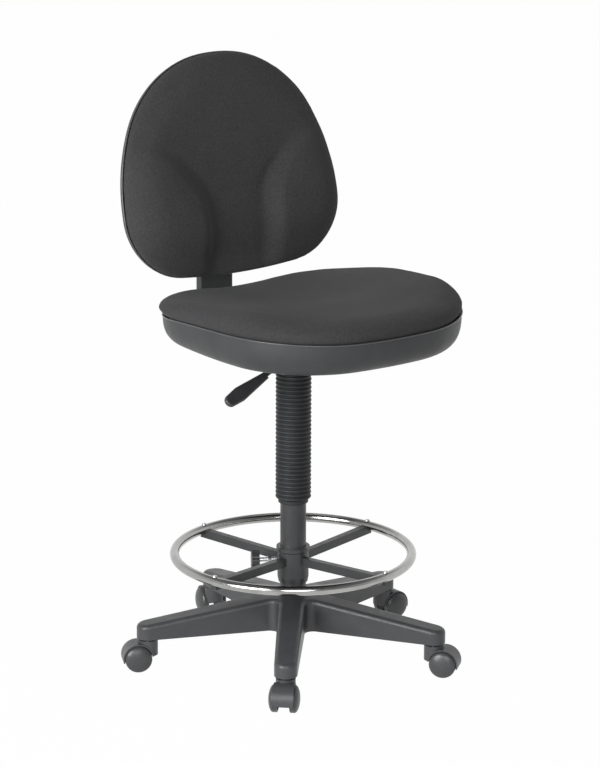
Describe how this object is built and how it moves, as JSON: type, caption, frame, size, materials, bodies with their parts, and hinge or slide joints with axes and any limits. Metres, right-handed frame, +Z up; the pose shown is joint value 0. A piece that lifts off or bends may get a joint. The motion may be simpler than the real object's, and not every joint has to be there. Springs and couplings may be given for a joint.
{
  "type": "drafting chair",
  "caption": "Tall armless drafting chair with an upholstered oval back and seat, a ribbed boot over a gas lift, a chromed foot ring and a star base on casters.",
  "frame": {"origin": "on the floor, under the axis of the column", "axes": "+Z up along the column; the sitter faces -Y; +X is to the sitter's left"},
  "size_m": [0.6272, 0.6461, 1.1055],
  "materials": {
    "black_nylon": "moulded glass-filled nylon, fine matt grain",
    "wheel_nylon": "moulded nylon, satin",
    "black_steel": "black powder coat",
    "steel": "bright zinc-plated steel",
    "chrome": "polished chrome plate",
    "bush_nylon": "turned nylon",
    "boot_rubber": "blow-moulded ribbed boot, satin black",
    "shell_plastic": "moulded polypropylene, fine leather grain",
    "knob_plastic": "moulded plastic, satin black",
    "plywood": "bare birch plywood",
    "black_fabric": "woven polyester upholstery"
  },
  "bodies": {
    "base": {"base_star": "black_nylon", "caster_stems": "steel", "column_tube": "black_steel", "column_bush": "bush_nylon", "thrust_bearing": "steel"},
    "lift_rod": {"piston_rod": "steel", "rod_clip": "steel", "piston": "steel", "boot": "boot_rubber"},
    "seat": {"pressure_tube": "black_steel", "tube_gland": "bush_nylon", "seat_mechanism": "black_steel", "lever_pin": "steel", "seat_bolts": "steel", "tee_nuts": "steel", "seat_shell": "shell_plastic", "seat_board": "plywood", "seat_cushion": "black_fabric"},
    "lever": {"lever_rod": "black_steel", "lever_paddle": "knob_plastic"},
    "valve": {"valve_button": "bush_nylon"},
    "back_bar": {"back_bar": "black_steel", "bar_cover": "shell_plastic"},
    "back": {"back_bracket": "black_steel", "back_screws": "steel", "back_shell": "shell_plastic", "back_board": "plywood", "back_cushion": "black_fabric"},
    "depth_knob": {"depth_knob": "knob_plastic", "depth_stud": "steel"},
    "height_knob": {"height_knob": "knob_plastic", "height_stud": "steel"},
    "foot_ring": {"foot_ring": "chrome", "ring_hub": "black_steel", "ring_bush": "bush_nylon", "ring_screws": "chrome"},
    "clamp_knob": {"clamp_knob": "knob_plastic", "clamp_stud": "steel"},
    "caster_1": {"caster_hood_1": "black_nylon", "caster_axle_1": "steel"},
    "wheel_1_a": {"caster_wheel_1_a": "wheel_nylon"},
    "wheel_1_b": {"caster_wheel_1_b": "wheel_nylon"},
    "caster_2": {"caster_hood_2": "black_nylon", "caster_axle_2": "steel"},
    "wheel_2_a": {"caster_wheel_2_a": "wheel_nylon"},
    "wheel_2_b": {"caster_wheel_2_b": "wheel_nylon"},
    "caster_3": {"caster_hood_3": "black_nylon", "caster_axle_3": "steel"},
    "wheel_3_a": {"caster_wheel_3_a": "wheel_nylon"},
    "wheel_3_b": {"caster_wheel_3_b": "wheel_nylon"},
    "caster_4": {"caster_hood_4": "black_nylon", "caster_axle_4": "steel"},
    "wheel_4_a": {"caster_wheel_4_a": "wheel_nylon"},
    "wheel_4_b": {"caster_wheel_4_b": "wheel_nylon"},
    "caster_5": {"caster_hood_5": "black_nylon", "caster_axle_5": "steel"},
    "wheel_5_a": {"caster_wheel_5_a": "wheel_nylon"},
    "wheel_5_b": {"caster_wheel_5_b": "wheel_nylon"}
  },
  "joints": [
    {"name": "seat_swivel", "type": "hinge", "parent": "base", "child": "lift_rod", "pos_m": [0, 0, 0.07], "axis": [0, 0, 1], "continuous": true},
    {"name": "seat_height", "type": "slide", "parent": "lift_rod", "child": "seat", "axis": [0, 0, 1], "range_m": [-0.045, 0.19], "deforming": ["boot"]},
    {"name": "lever_lift", "type": "hinge", "parent": "seat", "child": "lever", "pos_m": [-0.02739, -0.00582, 0.5928], "axis": [-0.2079, 0.9781, 0], "range_deg": [0, 7], "stiffness_Nm_per_rad": 2, "springref_deg": -5.73},
    {"name": "valve_press", "type": "slide", "parent": "seat", "child": "valve", "axis": [0, 0, -1], "range_m": [0, 0.0039], "stiffness_N_per_m": 500, "springref_m": -0.002},
    {"name": "back_depth", "type": "slide", "parent": "seat", "child": "back_bar", "axis": [0, 1, 0], "range_m": [-0.02, 0.03]},
    {"name": "back_height", "type": "slide", "parent": "back_bar", "child": "back", "axis": [0, 0, 1], "range_m": [0, 0.07]},
    {"name": "depth_knob_turn", "type": "hinge", "parent": "seat", "child": "depth_knob", "pos_m": [0, 0.072, 0.549], "axis": [0, 0, -1], "range_deg": [0, 360]},
    {"name": "height_knob_turn", "type": "hinge", "parent": "back", "child": "height_knob", "pos_m": [0, 0.272, 0.845], "axis": [0, 1, 0], "range_deg": [0, 360]},
    {"name": "ring_slide", "type": "slide", "parent": "base", "child": "foot_ring", "axis": [0, 0, 1], "range_m": [-0.01, 0.06]},
    {"name": "clamp_turn", "type": "hinge", "parent": "foot_ring", "child": "clamp_knob", "pos_m": [0, 0, 0.19], "axis": [-0.8572, 0.515, 0], "range_deg": [0, 360]},
    {"name": "caster_swivel_1", "type": "hinge", "parent": "base", "child": "caster_1", "pos_m": [-0.17266, -0.2166, 0.05], "axis": [0, 0, 1], "continuous": true},
    {"name": "wheel_spin_1_a", "type": "hinge", "parent": "caster_1", "child": "wheel_1_a", "pos_m": [-0.1863, -0.23123, 0.025], "axis": [-0.7314, 0.682, 0], "continuous": true},
    {"name": "wheel_spin_1_b", "type": "hinge", "parent": "caster_1", "child": "wheel_1_b", "pos_m": [-0.1863, -0.23123, 0.025], "axis": [-0.7314, 0.682, 0], "continuous": true},
    {"name": "caster_swivel_2", "type": "hinge", "parent": "base", "child": "caster_2", "pos_m": [0.15264, -0.23115, 0.05], "axis": [0, 0, 1], "continuous": true},
    {"name": "wheel_spin_2_a", "type": "hinge", "parent": "caster_2", "child": "wheel_2_a", "pos_m": [0.1655, -0.24647, 0.025], "axis": [-0.766, -0.6428, 0], "continuous": true},
    {"name": "wheel_spin_2_b", "type": "hinge", "parent": "caster_2", "child": "wheel_2_b", "pos_m": [0.1655, -0.24647, 0.025], "axis": [-0.766, -0.6428, 0], "continuous": true},
    {"name": "caster_swivel_3", "type": "hinge", "parent": "base", "child": "caster_3", "pos_m": [0.267, 0.07375, 0.05], "axis": [0, 0, 1], "continuous": true},
    {"name": "wheel_spin_3_a", "type": "hinge", "parent": "caster_3", "child": "wheel_3_a", "pos_m": [0.28699, 0.07444, 0.025], "axis": [0.0349, -0.9994, 0], "continuous": true},
    {"name": "wheel_spin_3_b", "type": "hinge", "parent": "caster_3", "child": "wheel_3_b", "pos_m": [0.28699, 0.07444, 0.025], "axis": [0.0349, -0.9994, 0], "continuous": true},
    {"name": "caster_swivel_4", "type": "hinge", "parent": "base", "child": "caster_4", "pos_m": [0.01237, 0.27672, 0.05], "axis": [0, 0, 1], "continuous": true},
    {"name": "wheel_spin_4_a", "type": "hinge", "parent": "caster_4", "child": "wheel_4_a", "pos_m": [0.01789, 0.29595, 0.025], "axis": [0.9613, -0.2756, 0], "continuous": true},
    {"name": "wheel_spin_4_b", "type": "hinge", "parent": "caster_4", "child": "wheel_4_b", "pos_m": [0.01789, 0.29595, 0.025], "axis": [0.9613, -0.2756, 0], "continuous": true},
    {"name": "caster_swivel_5", "type": "hinge", "parent": "base", "child": "caster_5", "pos_m": [-0.25936, 0.09728, 0.05], "axis": [0, 0, 1], "continuous": true},
    {"name": "wheel_spin_5_a", "type": "hinge", "parent": "caster_5", "child": "wheel_5_a", "pos_m": [-0.27733, 0.10605, 0.025], "axis": [0.4384, 0.8988, 0], "continuous": true},
    {"name": "wheel_spin_5_b", "type": "hinge", "parent": "caster_5", "child": "wheel_5_b", "pos_m": [-0.27733, 0.10605, 0.025], "axis": [0.4384, 0.8988, 0], "continuous": true}
  ],
  "couplings": [
    {"joint": "valve_press", "follows": "lever_lift", "m_per_rad": 0.031}
  ]
}
